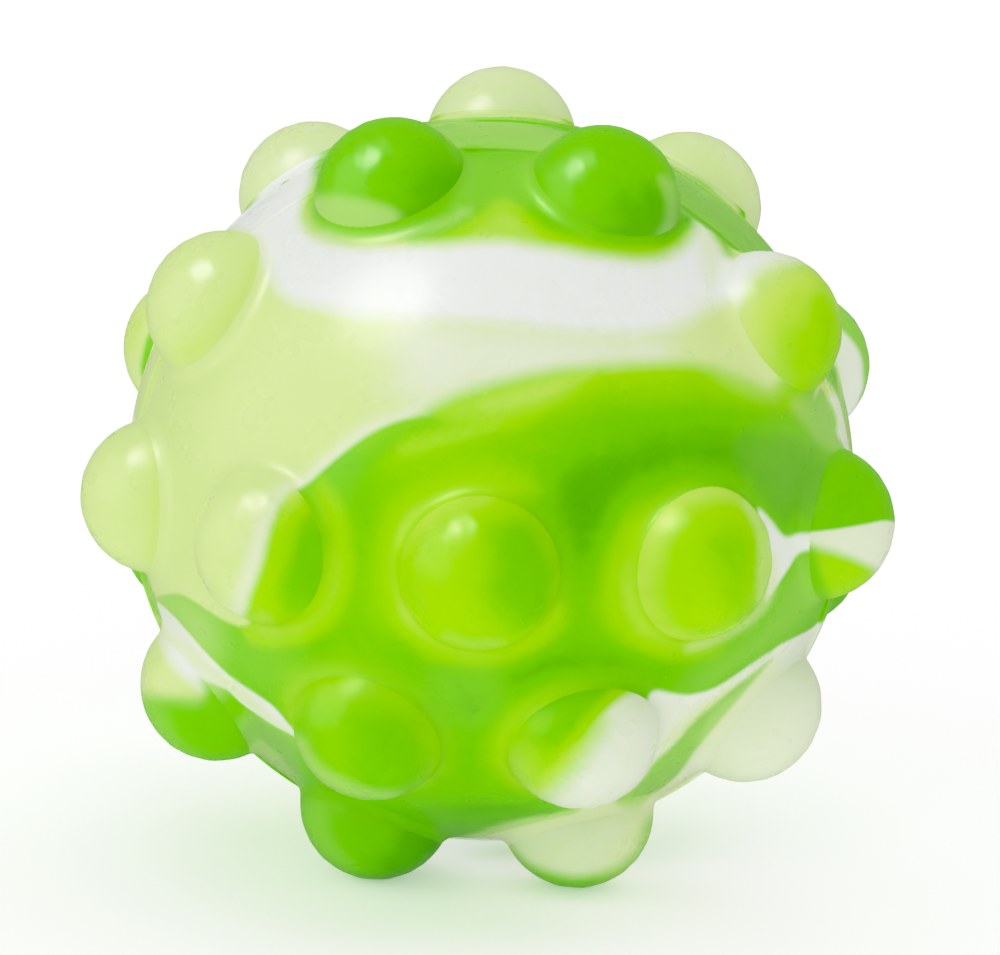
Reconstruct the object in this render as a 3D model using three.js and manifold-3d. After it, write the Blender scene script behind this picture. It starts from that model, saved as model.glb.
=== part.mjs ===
// A hollow silicone popping ball: two moulded half shells bonded at a seam,
// with fifteen round bubbles in each half that pop in towards the centre.
//
// Millimetres. +Z is up. The ball stands on three bubbles: two of the front
// half's rim row and one of the rear half's, so the seam stands nearly upright.
// -Y is the front. The origin lies on the floor under the ball's centre.

import * as THREE from 'three';
import { mergeVertices } from 'three/addons/utils/BufferGeometryUtils.js';
import Module from 'manifold-3d';

const wasm = await Module();
wasm.setup();

// ---- driving dimensions -------------------------------------------------

const SHELL_R = 30.0;          // outer radius of the ball between the bubbles
const WALL = 2.0;              // wall of the half shells
const SEGMENTS = 40;           // flats around each half shell

const COLLAR_FROM = 76.5;      // raised rim band: start, degrees from the pole
const COLLAR_RISE = 0.25;      // how far the rim band stands proud
const FLANGE_FROM = 80.0;      // inner thickening behind the seam, degrees
const FLANGE_R = 27.0;         // inner radius of that thickening
const SEAM_GAP = 0.3;          // clearance between the two rims
const SEAM_CHAMFER = 0.4;      // small vee where the rims meet outside

const BOND_R_IN = 27.9;        // adhesive bead in the groove of both rims
const BOND_R_OUT = 29.1;
const BOND_HALF_HEIGHT = 0.8;
const CLEARANCE = 0.3;         // gap kept between neighbouring pieces

const BUBBLE_R = 6.36;         // outer radius of a bubble's dome
const BUBBLE_D = 28.6;         // distance of the dome's centre from the ball's
const BUBBLE_WALL = 1.2;       // wall of the dome
const BUBBLE_EDGE = 70.0;      // the dome's edge, degrees from its crown
const SKIRT_R = 5.3;           // lower end of the tapered skirt under the edge
const SKIRT_WALL = 1.0;
const BUBBLE_SEGMENTS = 16;
const HOLE_R = 6.38;           // hole in the shell that a bubble pops through
const HOLE_SEGMENTS = 16;

const RIM_ROW = 69.4;          // angle of the ten rim bubbles from their pole
const INNER_ROW = 34.9;        // angle of the four inner bubbles from their pole
const CONTACT = 24.325;        // angle from a standing bubble's crown to the floor point
const POLE_TILT = 3.725;       // the front pole points this far below level

// Places around the pole, in degrees from straight down.
const FRONT_RIM = [-18, 18, 54, 90, 126, 162, -162, -126, -90, -54];
const FRONT_INNER = [-90, -30, 30, 90];
const REAR_RIM = [0, 36, 72, 108, 144, 180, -144, -108, -72, -36];
const REAR_INNER = [-72, -12, 48, 108];
const REAR_TURN = 0.6;         // the rear half is bonded this far round from its place

// ---- colours ------------------------------------------------------------

const GREEN = 0x5cb100;
const LIME = 0x93d40a;
const PALE = 0xc9e68f;
const WHITE = 0xe9efe6;
const ROUGHNESS = 0.42;

const FRONT_RIM_COLOURS = [GREEN, PALE, WHITE, GREEN, LIME, GREEN, GREEN, PALE, PALE, PALE];
const FRONT_INNER_COLOURS = [PALE, GREEN, LIME, LIME];
const REAR_RIM_COLOURS = [PALE, GREEN, GREEN, WHITE, PALE, PALE, PALE, LIME, GREEN, GREEN];
const REAR_INNER_COLOURS = [LIME, GREEN, WHITE, PALE];

// ---- directions ---------------------------------------------------------

const rad = THREE.MathUtils.degToRad;
const X = new THREE.Vector3(1, 0, 0);
const DOWN = new THREE.Vector3(0, 0, -1);
const POLE = new THREE.Vector3(0, -Math.cos(rad(POLE_TILT)), -Math.sin(rad(POLE_TILT)));
const BELOW = new THREE.Vector3(0, Math.sin(rad(POLE_TILT)), -Math.cos(rad(POLE_TILT)));

// The way out from the ball's centre at an angle from the front pole and a
// place around it.
function direction(fromPole, around) {
  const a = rad(fromPole);
  const b = rad(around);
  return new THREE.Vector3()
    .addScaledVector(POLE, Math.cos(a))
    .addScaledVector(BELOW, Math.sin(a) * Math.cos(b))
    .addScaledVector(X, Math.sin(a) * Math.sin(b));
}

// The turn that lays local +Z along z, with local +X as near to x as it goes.
function turnTo(z, x) {
  const ez = z.clone().normalize();
  const ex = x.clone().addScaledVector(ez, -x.dot(ez)).normalize();
  const ey = new THREE.Vector3().crossVectors(ez, ex);
  return new THREE.Matrix4().makeBasis(ex, ey, ez);
}

// ---- solids -------------------------------------------------------------

// Joins the vertices that faces share, and drops faces with no area.
function weld(geometry) {
  const bare = geometry.clone();
  bare.deleteAttribute('normal');
  bare.deleteAttribute('uv');
  const joined = mergeVertices(bare, 1e-4);
  const old = joined.index.array;
  const kept = [];
  for (let i = 0; i < old.length; i += 3) {
    const [a, b, c] = [old[i], old[i + 1], old[i + 2]];
    if (a !== b && b !== c && c !== a) kept.push(a, b, c);
  }
  joined.setIndex(kept);
  return joined;
}

function signedVolume(geometry) {
  const p = geometry.attributes.position;
  const n = geometry.index.array;
  const [a, b, c] = [new THREE.Vector3(), new THREE.Vector3(), new THREE.Vector3()];
  let sum = 0;
  for (let i = 0; i < n.length; i += 3) {
    a.fromBufferAttribute(p, n[i]);
    b.fromBufferAttribute(p, n[i + 1]);
    c.fromBufferAttribute(p, n[i + 2]);
    sum += a.dot(b.cross(c)) / 6;
  }
  return sum;
}

// A round solid about local +Z from [radius, height] points, faces outwards.
function turned(points, segments) {
  const profile = points.map(([r, h]) => new THREE.Vector2(r, h));
  const geometry = weld(new THREE.LatheGeometry(profile, segments).rotateX(Math.PI / 2));
  if (signedVolume(geometry) < 0) {
    const n = geometry.index.array;
    for (let i = 0; i < n.length; i += 3) [n[i + 1], n[i + 2]] = [n[i + 2], n[i + 1]];
  }
  return geometry;
}

function toSolid(geometry) {
  return new wasm.Manifold(
    new wasm.Mesh({
      numProp: 3,
      vertProperties: new Float32Array(geometry.attributes.position.array),
      triVerts: new Uint32Array(geometry.index.array),
    }),
  );
}

function toGeometry(solid) {
  const mesh = solid.getMesh();
  const geometry = new THREE.BufferGeometry();
  const places = new Float32Array(mesh.numVert * 3);
  for (let i = 0; i < mesh.numVert; i++) {
    for (let k = 0; k < 3; k++) places[3 * i + k] = mesh.vertProperties[i * mesh.numProp + k];
  }
  geometry.setAttribute('position', new THREE.BufferAttribute(places, 3));
  geometry.setIndex(Array.from(mesh.triVerts));
  return geometry;
}

const onSphere = (r, degrees) => [r * Math.sin(rad(degrees)), r * Math.cos(rad(degrees))];

// One half shell about its pole, before the holes: dome, raised rim band,
// rim with the bond groove, inner thickening, inner wall.
function halfShellBlank() {
  const inner = SHELL_R - WALL;
  const collarR = SHELL_R + COLLAR_RISE;
  const seam = SEAM_GAP / 2;
  const points = [[0, SHELL_R]];
  const steps = 7;
  for (let i = 1; i <= steps; i++) points.push(onSphere(SHELL_R, (COLLAR_FROM * i) / steps));
  points.push(onSphere(collarR, COLLAR_FROM + 0.6));
  points.push(onSphere(collarR, 83.5));
  points.push([Math.sqrt(collarR ** 2 - (seam + SEAM_CHAMFER) ** 2), seam + SEAM_CHAMFER]);
  points.push([collarR - SEAM_CHAMFER, seam]);
  points.push([BOND_R_OUT + CLEARANCE, seam]);
  points.push([BOND_R_OUT + CLEARANCE, BOND_HALF_HEIGHT + CLEARANCE]);
  points.push([BOND_R_IN - CLEARANCE, BOND_HALF_HEIGHT + CLEARANCE]);
  points.push([BOND_R_IN - CLEARANCE, seam]);
  points.push([FLANGE_R, seam]);
  points.push(onSphere(FLANGE_R, FLANGE_FROM + 2));
  points.push(onSphere(inner, FLANGE_FROM));
  const back = 6;
  for (let i = 1; i < back; i++) points.push(onSphere(inner, FLANGE_FROM * (1 - i / back)));
  points.push([0, inner]);
  return turned(points, SEGMENTS);
}

// A bubble's dome with its skirt, about local +Z from the ball's centre.
function bubbleGeometry() {
  const insideR = BUBBLE_R - BUBBLE_WALL;
  const up = ([r, h]) => [r, h + BUBBLE_D];
  const points = [[0, BUBBLE_D + BUBBLE_R]];
  for (const a of [CONTACT, 40, 56, BUBBLE_EDGE]) points.push(up(onSphere(BUBBLE_R, a)));
  points.push([SKIRT_R, BUBBLE_D]);
  points.push([SKIRT_R - SKIRT_WALL, BUBBLE_D]);
  for (const a of [58, 30]) points.push(up(onSphere(insideR, a)));
  points.push([0, BUBBLE_D + insideR]);
  return turned(points, BUBBLE_SEGMENTS);
}

function bondGeometry() {
  return turned(
    [
      [BOND_R_IN, -BOND_HALF_HEIGHT],
      [BOND_R_OUT, -BOND_HALF_HEIGHT],
      [BOND_R_OUT, BOND_HALF_HEIGHT],
      [BOND_R_IN, BOND_HALF_HEIGHT],
      [BOND_R_IN, -BOND_HALF_HEIGHT],
    ],
    SEGMENTS,
  );
}

// Cuts a bubble's hole through a half shell that is turned by `turn`.
function cutHoles(blank, turn, ways) {
  const back = turn.clone().invert();
  let solid = toSolid(blank);
  for (const way of ways) {
    const drill = weld(
      new THREE.CylinderGeometry(HOLE_R, HOLE_R, 20, HOLE_SEGMENTS).rotateX(Math.PI / 2).translate(0, 0, SHELL_R),
    );
    drill.applyMatrix4(turnTo(way, DOWN)).applyMatrix4(back);
    solid = solid.subtract(toSolid(drill));
  }
  return toGeometry(solid);
}

// ---- assembly -----------------------------------------------------------

const ball = new THREE.Group();
ball.position.z = BUBBLE_D * Math.cos(rad(CONTACT)) + BUBBLE_R;

function addPiece(name, geometry, turn, colour) {
  const material = new THREE.MeshStandardMaterial({ color: colour, roughness: ROUGHNESS, metalness: 0 });
  const mesh = new THREE.Mesh(geometry, material);
  mesh.name = name;
  mesh.quaternion.setFromRotationMatrix(turn);
  ball.add(mesh);
}

const bubble = bubbleGeometry();
const two = (n) => String(n).padStart(2, '0');

function addHalf(side, shellColour, crownColour, rimAngle, rim, rimColours, innerAngle, inner, innerColours) {
  const pole = side === 'front' ? POLE.clone() : POLE.clone().negate();
  const bubbles = [
    [`${side}_crown_bubble`, pole, crownColour],
    ...inner.map((b, i) => [`${side}_inner_bubble_${i + 1}`, direction(innerAngle, b), innerColours[i]]),
    ...rim.map((b, i) => [`${side}_rim_bubble_${two(i + 1)}`, direction(rimAngle, b), rimColours[i]]),
  ];
  const turn = turnTo(pole, X);
  const ways = bubbles.map(([, way]) => way);
  addPiece(`${side}_half_shell`, cutHoles(halfShellBlank(), turn, ways), turn, shellColour);
  for (const [name, way, colour] of bubbles) addPiece(name, bubble, turnTo(way, DOWN), colour);
}

addHalf('front', GREEN, LIME, RIM_ROW, FRONT_RIM, FRONT_RIM_COLOURS, INNER_ROW, FRONT_INNER, FRONT_INNER_COLOURS);
const turnedBy = (places) => places.map((b) => b + REAR_TURN);
addHalf('rear', LIME, GREEN, 180 - RIM_ROW, turnedBy(REAR_RIM), REAR_RIM_COLOURS, 180 - INNER_ROW, turnedBy(REAR_INNER), REAR_INNER_COLOURS);
addPiece('seam_bond', bondGeometry(), turnTo(POLE, X), PALE);

export default ball;
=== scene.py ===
import math

import bpy
import numpy as np
from mathutils import Matrix, Vector
from mathutils.geometry import delaunay_2d_cdt


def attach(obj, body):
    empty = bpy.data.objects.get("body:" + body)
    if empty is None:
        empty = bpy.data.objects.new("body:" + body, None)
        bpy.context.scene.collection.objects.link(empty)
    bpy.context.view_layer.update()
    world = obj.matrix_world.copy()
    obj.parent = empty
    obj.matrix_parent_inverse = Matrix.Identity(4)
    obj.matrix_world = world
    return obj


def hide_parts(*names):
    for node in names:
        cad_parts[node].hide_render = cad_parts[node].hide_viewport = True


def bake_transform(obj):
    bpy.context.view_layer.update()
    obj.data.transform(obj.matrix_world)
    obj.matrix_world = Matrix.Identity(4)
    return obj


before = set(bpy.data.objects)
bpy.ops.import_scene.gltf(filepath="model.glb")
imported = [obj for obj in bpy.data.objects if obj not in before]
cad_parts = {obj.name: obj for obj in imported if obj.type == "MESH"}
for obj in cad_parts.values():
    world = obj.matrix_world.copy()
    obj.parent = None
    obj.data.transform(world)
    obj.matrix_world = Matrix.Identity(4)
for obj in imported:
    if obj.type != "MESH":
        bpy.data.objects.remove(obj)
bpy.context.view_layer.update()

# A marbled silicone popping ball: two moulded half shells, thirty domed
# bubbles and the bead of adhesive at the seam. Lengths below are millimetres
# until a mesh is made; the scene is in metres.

MM = 0.001

# ---------------------------------------------------------------- the ball

SHELL_R = 30.0          # outer radius between the bubbles
INNER_R = 28.0          # inner radius of the wall
BUBBLE_R = 6.36
BUBBLE_D = 28.6
RIM_ROW, INNER_ROW, CONTACT, POLE_TILT = 69.4, 34.9, 24.325, 3.725
FRONT_RIM = [-18, 18, 54, 90, 126, 162, -162, -126, -90, -54]
FRONT_INNER = [-90, -30, 30, 90]
REAR_RIM = [0, 36, 72, 108, 144, 180, -144, -108, -72, -36]
REAR_INNER = [-72, -12, 48, 108]
REAR_TURN = 0.6         # the rear half is bonded this far round from its place

TILT = math.radians(POLE_TILT)
POLE = np.array([0.0, -math.cos(TILT), -math.sin(TILT)])
BELOW = np.array([0.0, math.sin(TILT), -math.cos(TILT)])
EAST = np.array([1.0, 0.0, 0.0])
CENTRE = np.array([0.0, 0.0, BUBBLE_D * math.cos(math.radians(CONTACT)) + BUBBLE_R])

FILLET = 1.5            # radius of the fillet between shell and bubble
_a = ((SHELL_R + FILLET) ** 2 - (BUBBLE_R + FILLET) ** 2 + BUBBLE_D ** 2) / (2 * BUBBLE_D)
_s = math.sqrt((SHELL_R + FILLET) ** 2 - _a ** 2)
_from, _to = math.atan2(BUBBLE_D - _a, -_s), math.atan2(-_a, -_s)
_turn = [_from + (_to - _from + 2 * math.pi) % (2 * math.pi) * q
         for q in (0.0, 0.07, 0.15, 0.24, 0.34, 0.45, 0.57, 0.70, 0.84, 1.0)]
# lateral distance from the bubble's axis, and height over the shell, from the ring
# where the fillet runs into the bubble's wall outwards
RIM_S = np.array([_s + FILLET * math.cos(t) for t in _turn] + [7.7, 8.15, 8.7])
SKIRT = np.array([math.hypot(_s + FILLET * math.cos(t), _a + FILLET * math.sin(t)) - SHELL_R
                  for t in _turn] + [0.0, 0.0, 0.0])
RIM_S[0] -= 0.04
CREASE_S, CREASE_R = RIM_S[0], SHELL_R + SKIRT[0]
CREASE = math.asin(CREASE_S / CREASE_R)
RING_SEGMENTS = 60


def direction(from_pole, around):
    a, b = math.radians(from_pole), math.radians(around)
    return (math.cos(a) * POLE
            + math.sin(a) * (math.cos(b) * BELOW + math.sin(b) * EAST))


def unit(v):
    return v / np.linalg.norm(v)


def tangents(d):
    """Two directions across d: the first as near to level as it goes."""
    u = np.cross(np.array([0.0, 0.0, 1.0]), d)
    u = unit(u) if np.linalg.norm(u) > 1e-3 else EAST
    return u, np.cross(d, u)


BUBBLES = {"front_crown_bubble": direction(0, 0), "rear_crown_bubble": direction(180, 0)}
for i, a in enumerate(FRONT_INNER):
    BUBBLES["front_inner_bubble_%d" % (i + 1)] = direction(INNER_ROW, a)
for i, a in enumerate(REAR_INNER):
    BUBBLES["rear_inner_bubble_%d" % (i + 1)] = direction(180 - INNER_ROW, a + REAR_TURN)
for i, a in enumerate(FRONT_RIM):
    BUBBLES["front_rim_bubble_%02d" % (i + 1)] = direction(RIM_ROW, a)
for i, a in enumerate(REAR_RIM):
    BUBBLES["rear_rim_bubble_%02d" % (i + 1)] = direction(180 - RIM_ROW, a + REAR_TURN)

# ---------------------------------------------------------------- the camera

CAM_RIGHT = unit(np.array([0.99905, 0.02558, 0.03527]))
CAM_BACK = np.array([0.01885, -0.98358, 0.17946])
CAM_BACK = unit(CAM_BACK - CAM_BACK.dot(CAM_RIGHT) * CAM_RIGHT)
CAM_UP = np.cross(CAM_BACK, CAM_RIGHT)
CAM_DISTANCE = 369.0
FOCAL_PX = 4415.0
BALL_PX = (490.5, 478.8)        # where the ball's centre sits in a 1000 by 955 frame
EYE = CENTRE + CAM_DISTANCE * CAM_BACK

# The lens axis points a little to one side of the ball, so the frame needs no shift.
off_x = (BALL_PX[0] - 500.0) / FOCAL_PX
off_y = -(BALL_PX[1] - 477.5) / FOCAL_PX
AXIS = unit(-CAM_BACK - off_x * CAM_RIGHT - off_y * CAM_UP)
VIEW_BACK = -AXIS
VIEW_RIGHT = unit(CAM_RIGHT - CAM_RIGHT.dot(VIEW_BACK) * VIEW_BACK)
VIEW_UP = np.cross(VIEW_BACK, VIEW_RIGHT)


def to_px(p):
    """Where points (millimetres) fall in the 1000 by 955 frame."""
    w = p - EYE
    z = -(w @ VIEW_BACK)
    return np.stack([500.0 + FOCAL_PX * (w @ VIEW_RIGHT) / z,
                     477.5 - FOCAL_PX * (w @ VIEW_UP) / z], -1)


# ------------------------------------------------- charts for the marbling
# The flow of the colours is drawn as outlines. On the shell they lie in a
# chart of angles from the middle of the side that faces the camera (or from
# its opposite), so they keep their width right round the side of the ball.

TO_EYE = unit(EYE - CENTRE)
CHART_X = unit(VIEW_RIGHT - VIEW_RIGHT.dot(TO_EYE) * TO_EYE)
CHART_Y = np.cross(TO_EYE, CHART_X)
PX_PER_DEG = 6.28


def chart(d, back=False):
    """Angles, in degrees, of unit directions from the chart's middle."""
    axis, ex = (-TO_EYE, -CHART_X) if back else (TO_EYE, CHART_X)
    c = np.clip(d @ axis, -1, 1)
    x, y = d @ ex, d @ CHART_Y
    n = np.maximum(np.hypot(x, y), 1e-9)
    t = np.degrees(np.arccos(c))
    return np.stack([x / n * t, y / n * t], -1)


def px_to_chart(points):
    """Outline points given in the frame, carried on to the front chart. Points
    outside the ball's edge lie further round it."""
    out = []
    for x, y in points:
        ray = unit(AXIS * FOCAL_PX + VIEW_RIGHT * (x - 500.0) - VIEW_UP * (y - 477.5))
        w = CENTRE - EYE
        near = w.dot(ray)
        miss = EYE + ray * near - CENTRE
        h = np.linalg.norm(miss)
        if h < SHELL_R:
            d = unit(miss - ray * math.sqrt(SHELL_R ** 2 - h * h))
            out.append(chart(d[None])[0])
        else:
            edge = chart(unit(miss)[None])[0]
            out.append(edge * (1 + (h - SHELL_R) / SHELL_R / math.radians(90)))
    return np.array(out)


def spline(points, steps=6):
    """A smooth closed outline through the points."""
    p = np.asarray(points, float)
    a, b, c, d = np.roll(p, 1, 0), p, np.roll(p, -1, 0), np.roll(p, -2, 0)
    rows = []
    for t in np.arange(steps) / steps:
        rows.append(b + 0.5 * t * (c - a) + t * t * (a - 2.5 * b + 2 * c - 0.5 * d)
                    + t ** 3 * (-0.5 * a + 1.5 * b - 1.5 * c + 0.5 * d))
    return np.stack(rows, 1).reshape(-1, 2)


def inside(outline, p, reach):
    """Signed distance of points to an outline, positive inside; no further than
    reach outside it."""
    lo, hi = outline.min(0) - reach, outline.max(0) + reach
    close = ((p > lo) & (p < hi)).all(1)
    if not close.all():
        out = np.full(len(p), -float(reach))
        if close.any():
            out[close] = inside(outline, p[close], reach)
        return out
    a, b = outline, np.roll(outline, -1, 0)
    best = np.full(len(p), 1e9)
    odd = np.zeros(len(p), bool)
    for (ax, ay), (bx, by) in zip(a, b):
        ex, ey = bx - ax, by - ay
        wx, wy = p[:, 0] - ax, p[:, 1] - ay
        t = np.clip((wx * ex + wy * ey) / max(ex * ex + ey * ey, 1e-12), 0, 1)
        best = np.minimum(best, (wx - t * ex) ** 2 + (wy - t * ey) ** 2)
        if ay != by:
            cross = (ay <= p[:, 1]) != (by <= p[:, 1])
            odd ^= cross & (p[:, 0] < ax + (p[:, 1] - ay) * ex / ey)
    return np.where(odd, 1, -1) * np.sqrt(best)


LAYERS = ["pale", "white", "green", "lime", "dark"]
FAR = 6.0

# Outlines on the shell: (layer, softness in frame pixels, points in the frame).
SHELL_FRONT = [
    ("pale", 16, [(180, 170), (262, 200), (420, 250), (700, 250), (752, 300), (772, 385),
                  (700, 430), (500, 450), (400, 500), (330, 560), (290, 640), (240, 660),
                  (180, 640), (120, 625), (40, 580), (10, 450), (40, 300), (110, 210)]),
    ("white", 24, [(205, 205), (235, 232), (258, 240), (268, 262), (275, 286), (298, 302),
                   (345, 313), (400, 318), (450, 321), (500, 325), (560, 331), (610, 335),
                   (650, 334), (682, 326), (702, 318), (722, 308), (740, 290), (735, 266),
                   (728, 262), (722, 248), (712, 232), (690, 190), (600, 170), (450, 150),
                   (330, 130), (290, 120), (235, 160)]),
    ("white", 36, [(298, 492), (320, 468), (343, 448), (365, 433), (387, 421), (412, 409),
                   (440, 399), (470, 389), (510, 379), (560, 371), (620, 366), (630, 430),
                   (480, 460), (400, 490), (340, 540), (306, 520)]),
    ("white", 130, [(418, 342), (480, 338), (600, 349), (650, 350), (650, 356), (560, 364),
                    (480, 376), (415, 384)]),
    ("white", 6, [(140, 604), (160, 625), (178, 645), (196, 664), (212, 682), (228, 697),
                  (244, 710), (262, 720), (276, 728), (292, 737), (305, 728), (330, 690),
                  (280, 660), (230, 645), (190, 614), (165, 602), (140, 598)]),
    ("white", 6, [(738, 498), (762, 508), (778, 522), (800, 525), (850, 515), (880, 540),
                  (870, 575), (815, 565), (800, 580), (782, 600), (764, 615), (752, 590),
                  (768, 560), (766, 530), (752, 512)]),
    ("white", 8, [(900, 585), (830, 600), (790, 630), (740, 655), (690, 680), (640, 690),
                  (600, 720), (585, 770), (560, 800), (500, 822), (455, 836), (430, 890),
                  (520, 940), (660, 910), (790, 850), (890, 740), (920, 650)]),
    ("green", 22, [(312, 140), (313, 185), (305, 200), (301, 216), (308, 231), (326, 240),
                   (350, 245), (380, 247), (420, 246), (460, 244), (490, 242), (510, 242),
                   (530, 245), (560, 250), (600, 257), (640, 261), (668, 256), (687, 244),
                   (696, 230), (699, 214), (702, 186), (694, 150), (672, 112), (632, 80),
                   (572, 58), (500, 48), (424, 58), (368, 82), (332, 110)]),
    ("green", 4, [(668, 203), (688, 215), (703, 224), (720, 238), (738, 254), (752, 266),
                  (772, 268), (796, 284), (822, 312), (812, 272), (790, 228), (756, 184),
                  (715, 140), (675, 165)]),
    ("green", 9, [(820, 372), (834, 396), (842, 425), (847, 452), (858, 474), (882, 492),
                  (898, 468), (890, 424), (868, 388), (840, 366)]),
    ("green", 18, [(420, 420), (440, 402), (480, 387), (520, 377), (560, 370), (600, 365),
                   (640, 363), (680, 363), (720, 368), (750, 379), (775, 393), (800, 412),
                   (805, 470), (700, 460), (600, 460), (500, 470), (430, 470)]),
    ("green", 7, [(303, 488), (325, 468), (340, 455), (360, 440), (380, 428), (400, 420),
                  (420, 416), (440, 420), (480, 424), (520, 418), (560, 412), (600, 408),
                  (650, 406), (700, 408), (740, 412), (770, 420), (795, 424), (810, 410),
                  (820, 388), (828, 400), (834, 418), (840, 446), (856, 470), (900, 490),
                  (900, 520), (845, 528), (812, 531), (799, 533), (788, 537), (780, 533),
                  (771, 520), (757, 508), (758, 540), (768, 556), (769, 580), (765, 602),
                  (778, 584), (790, 566), (799, 551), (808, 549), (835, 553), (890, 560),
                  (900, 600), (840, 612), (815, 626), (790, 640), (770, 652), (750, 665),
                  (730, 679), (715, 688), (700, 693), (685, 695), (670, 693), (655, 690),
                  (640, 697), (615, 715), (598, 745), (590, 790), (580, 811), (560, 817),
                  (540, 822), (500, 832), (465, 840), (440, 870), (400, 900), (330, 880),
                  (290, 820), (300, 770), (303, 742), (290, 726), (275, 708), (262, 698),
                  (250, 690), (230, 676), (215, 662), (200, 646), (190, 634), (174, 616),
                  (158, 602), (120, 598), (120, 588), (150, 594), (165, 595), (180, 594),
                  (195, 601), (210, 611), (225, 620), (240, 626), (250, 622), (252, 610),
                  (262, 575), (270, 540), (285, 508)]),
    ("green", 5, [(190, 660), (203, 669), (213, 678), (222, 686), (230, 692), (241, 703),
                  (258, 715), (276, 727), (296, 739), (320, 770), (340, 810), (300, 850),
                  (225, 810), (195, 720)]),
    ("green", 12, [(772, 660), (750, 676), (730, 691), (708, 707), (690, 724), (672, 746),
                   (656, 760), (644, 776), (634, 788), (614, 803), (640, 801), (660, 790),
                   (680, 772), (693, 753), (709, 734), (725, 715), (743, 694), (759, 676)]),
]

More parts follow.
